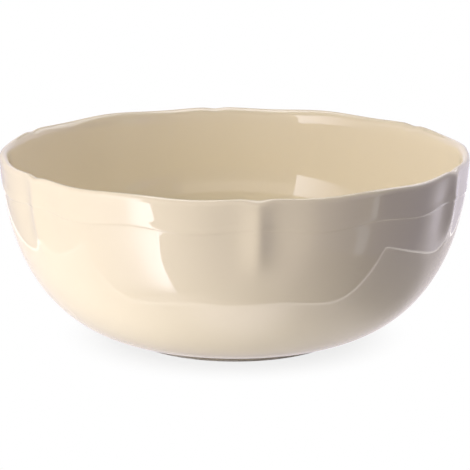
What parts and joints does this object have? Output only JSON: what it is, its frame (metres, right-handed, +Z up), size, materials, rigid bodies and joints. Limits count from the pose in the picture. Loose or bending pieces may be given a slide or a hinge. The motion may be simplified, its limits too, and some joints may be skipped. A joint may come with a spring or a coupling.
{
  "type": "porcelain serving bowl",
  "caption": "Deep round porcelain serving bowl with soft crests down the outside, a gently waved rim and a low foot ring, for salad, fruit or pasta.",
  "frame": {"origin": "middle of the standing face, under the middle of the foot ring", "axes": "+Z up along the bowl's axis, -Y towards the front crest, +X to the right of it"},
  "size_m": [0.26, 0.2606, 0.1049],
  "materials": {
    "porcelain_body": "matte",
    "ivory_glaze": "glossy"
  },
  "bodies": {
    "root": {"bowl_shell": "porcelain_body", "foot_ring": "porcelain_body", "glaze_coat": "ivory_glaze", "underside_glaze": "ivory_glaze"}
  },
  "joints": []
}
